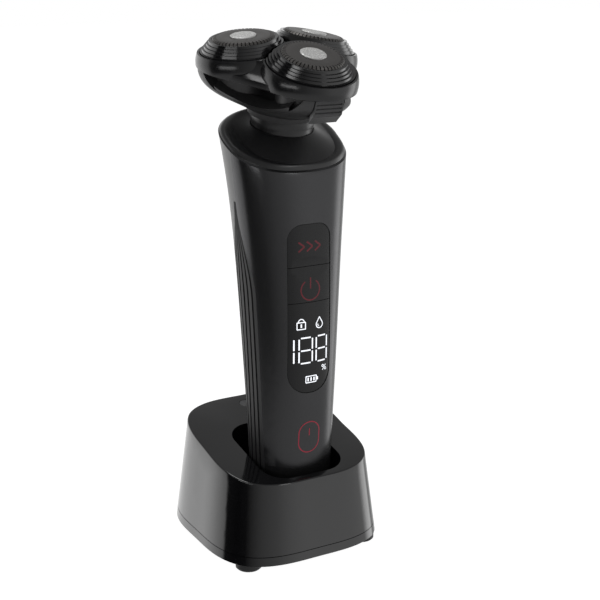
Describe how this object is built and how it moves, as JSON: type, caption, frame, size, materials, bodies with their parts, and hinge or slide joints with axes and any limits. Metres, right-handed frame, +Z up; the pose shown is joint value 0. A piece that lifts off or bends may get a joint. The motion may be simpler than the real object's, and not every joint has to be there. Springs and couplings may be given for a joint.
{
  "type": "rotary electric shaver with charging stand",
  "caption": "Cordless rotary shaver with three tilting round guards on a swivelling neck, ribbed side grips and a display panel, standing in a tapered charging stand.",
  "frame": {"origin": "middle of the bounding box's underside, on the ground under the stand", "axes": "+Z up, -Y towards the shaver's front with the display, +X to the right seen from the back"},
  "size_m": [0.0673, 0.078, 0.1897],
  "materials": {
    "stand_black": "gloss",
    "soft_black": "matte",
    "steel": "satin",
    "board_green": "matte",
    "contact_gold": "polished",
    "light_guide": "translucent look",
    "gunmetal": "satin",
    "body_black": "satin",
    "panel_black": "gloss",
    "module_grey": "matte",
    "cell_wrap": "satin",
    "gloss_black": "gloss",
    "frame_black": "satin",
    "latch_grey": "satin",
    "gear_white": "matte",
    "guard_steel": "dark satin",
    "silver": "fine blasted"
  },
  "bodies": {
    "stand": {"stand_shell": "stand_black", "stand_base": "stand_black", "stand_feet": "soft_black", "stand_screws": "steel", "stand_board": "board_green", "charge_pins": "contact_gold", "stand_inlet": "steel", "stand_lamp": "light_guide"},
    "handle": {"front_shell": "gunmetal", "rear_shell": "body_black", "right_grip_pad": "soft_black", "left_grip_pad": "soft_black", "right_grip_ribs": "soft_black", "left_grip_ribs": "soft_black", "bottom_cap": "body_black", "charge_contacts": "contact_gold", "display_lens": "panel_black", "display_module": "module_grey", "button_switches": "module_grey", "main_board": "board_green", "chassis": "module_grey", "battery": "cell_wrap", "drive_motor": "steel", "shoulder_cap": "gloss_black", "neck_collar": "gloss_black", "neck_seal": "soft_black"},
    "power_key": {"power_button": "panel_black"},
    "boost_key": {"boost_button": "panel_black"},
    "motor_rotor": {"motor_shaft": "steel"},
    "gimbal": {"gimbal_ring": "module_grey"},
    "head": {"head_base": "gloss_black", "gear_cover": "body_black"},
    "release_key": {"release_button": "latch_grey"},
    "centre_gear": {"main_gear": "gear_white", "drive_socket": "gear_white"},
    "upper_head": {"head_frame": "frame_black", "cutter_retainer": "module_grey", "hinge_pin": "steel"},
    "front_drive": {"front_drive_gear": "gear_white", "front_drive_spindle": "gear_white"},
    "right_drive": {"right_drive_gear": "gear_white", "right_drive_spindle": "gear_white"},
    "left_drive": {"left_drive_gear": "gear_white", "left_drive_spindle": "gear_white"},
    "front_unit": {"front_guard_ring": "gloss_black", "front_guard": "guard_steel", "front_centre_disc": "silver"},
    "right_unit": {"right_guard_ring": "gloss_black", "right_guard": "guard_steel", "right_centre_disc": "silver"},
    "left_unit": {"left_guard_ring": "gloss_black", "left_guard": "guard_steel", "left_centre_disc": "silver"},
    "front_blade_wheel": {"front_cutter": "steel"},
    "right_blade_wheel": {"right_cutter": "steel"},
    "left_blade_wheel": {"left_cutter": "steel"}
  },
  "joints": [
    {"name": "lift_off", "type": "slide", "parent": "stand", "child": "handle", "axis": [0, 0, 1], "range_m": [0, 0.08]},
    {"name": "power_press", "type": "slide", "parent": "handle", "child": "power_key", "axis": [0, 1, 0], "range_m": [0, 0.0006], "stiffness_N_per_m": 1500, "springref_m": -0.0004},
    {"name": "boost_press", "type": "slide", "parent": "handle", "child": "boost_key", "axis": [0, 1, 0], "range_m": [0, 0.0006], "stiffness_N_per_m": 1500, "springref_m": -0.0004},
    {"name": "motor_spin", "type": "hinge", "parent": "handle", "child": "motor_rotor", "pos_m": [0, -0.0035, 0.16], "axis": [0, 0, 1], "continuous": true},
    {"name": "neck_pitch", "type": "hinge", "parent": "handle", "child": "gimbal", "pos_m": [0, -0.0035, 0.16], "axis": [1, 0, 0], "range_deg": [-8, 8], "stiffness_Nm_per_rad": 0.6},
    {"name": "neck_roll", "type": "hinge", "parent": "gimbal", "child": "head", "pos_m": [0, -0.0035, 0.16], "axis": [0, 0.9781, 0.2079], "range_deg": [-8, 8], "stiffness_Nm_per_rad": 0.6},
    {"name": "main_gear_spin", "type": "hinge", "parent": "head", "child": "centre_gear", "pos_m": [0, -0.0035, 0.16], "axis": [0, -0.2079, 0.9781], "continuous": true},
    {"name": "release_press", "type": "slide", "parent": "head", "child": "release_key", "axis": [0, 0.9781, 0.2079], "range_m": [0, 0.001], "stiffness_N_per_m": 1200, "springref_m": -0.0005},
    {"name": "frame_open", "type": "hinge", "parent": "head", "child": "upper_head", "pos_m": [0, 0.01738, 0.18488], "axis": [-1, 0, 0], "range_deg": [0, 100]},
    {"name": "front_gear_spin", "type": "hinge", "parent": "head", "child": "front_drive", "pos_m": [0, -0.02031, 0.16501], "axis": [0, -0.2079, 0.9781], "continuous": true},
    {"name": "right_gear_spin", "type": "hinge", "parent": "head", "child": "right_drive", "pos_m": [0.01334, 0.00229, 0.16982], "axis": [0, -0.2079, 0.9781], "continuous": true},
    {"name": "left_gear_spin", "type": "hinge", "parent": "head", "child": "left_drive", "pos_m": [-0.01334, 0.00229, 0.16982], "axis": [0, -0.2079, 0.9781], "continuous": true},
    {"name": "front_unit_tilt", "type": "hinge", "parent": "upper_head", "child": "front_unit", "pos_m": [0, -0.02286, 0.17793], "axis": [1, 0, 0], "range_deg": [-3, 3], "stiffness_Nm_per_rad": 0.05},
    {"name": "front_cutter_spin", "type": "hinge", "parent": "front_unit", "child": "front_blade_wheel", "pos_m": [0, -0.02465, 0.1826], "axis": [0, -0.3584, 0.9336], "continuous": true},
    {"name": "right_unit_tilt", "type": "hinge", "parent": "upper_head", "child": "right_unit", "pos_m": [0.01317, -0.00054, 0.18267], "axis": [-0.5, 0.8471, 0.1801], "range_deg": [-3, 3], "stiffness_Nm_per_rad": 0.05},
    {"name": "right_cutter_spin", "type": "hinge", "parent": "right_unit", "child": "right_blade_wheel", "pos_m": [0.01385, -0.00119, 0.18758], "axis": [0.1355, -0.1288, 0.9824], "continuous": true},
    {"name": "left_unit_tilt", "type": "hinge", "parent": "upper_head", "child": "left_unit", "pos_m": [-0.01317, -0.00054, 0.18267], "axis": [-0.5, -0.8471, -0.1801], "range_deg": [-3, 3], "stiffness_Nm_per_rad": 0.05},
    {"name": "left_cutter_spin", "type": "hinge", "parent": "left_unit", "child": "left_blade_wheel", "pos_m": [-0.01385, -0.00119, 0.18758], "axis": [-0.1355, -0.1288, 0.9824], "continuous": true}
  ],
  "couplings": [
    {"joint": "motor_spin", "follows": "main_gear_spin", "ratio": 1},
    {"joint": "front_gear_spin", "follows": "main_gear_spin", "ratio": -0.75},
    {"joint": "right_gear_spin", "follows": "main_gear_spin", "ratio": -0.75},
    {"joint": "left_gear_spin", "follows": "main_gear_spin", "ratio": -0.75},
    {"joint": "front_cutter_spin", "follows": "main_gear_spin", "ratio": -0.75},
    {"joint": "right_cutter_spin", "follows": "main_gear_spin", "ratio": -0.75},
    {"joint": "left_cutter_spin", "follows": "main_gear_spin", "ratio": -0.75}
  ]
}
